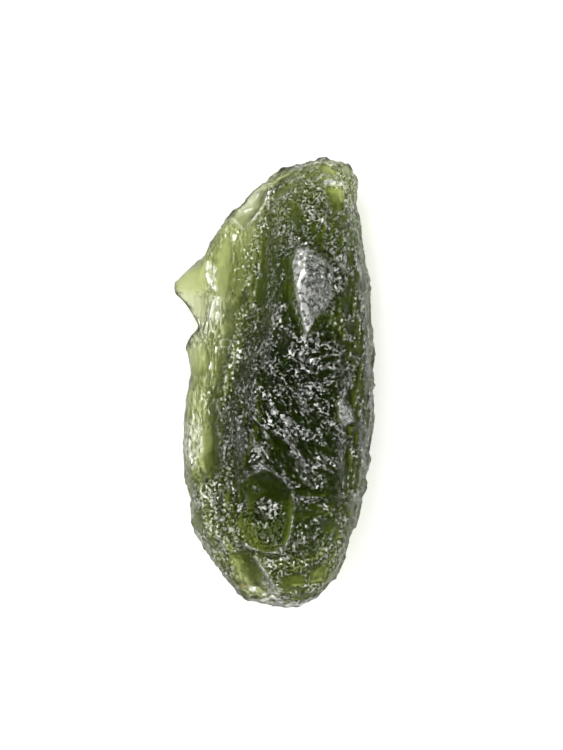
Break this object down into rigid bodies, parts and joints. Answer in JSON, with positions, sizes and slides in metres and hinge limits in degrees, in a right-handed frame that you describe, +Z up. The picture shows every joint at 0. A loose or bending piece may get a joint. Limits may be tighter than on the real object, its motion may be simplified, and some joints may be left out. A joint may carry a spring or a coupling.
{
  "type": "moldavite",
  "caption": "Natural lump of etched green tektite glass, long and blunt, with a thin blade and a thorn along one side.",
  "frame": {"origin": "middle of the bounding box in X and Y, at the level of the flat rest spot under the belly", "axes": "+Y along the stone to its slanted end, +Z up from the rest spot to the crest, -X towards the thin blade and its thorn"},
  "size_m": [0.0162, 0.036, 0.01],
  "materials": {
    "tektite_glass": "etched"
  },
  "bodies": {
    "root": {"moldavite": "tektite_glass"}
  },
  "joints": []
}
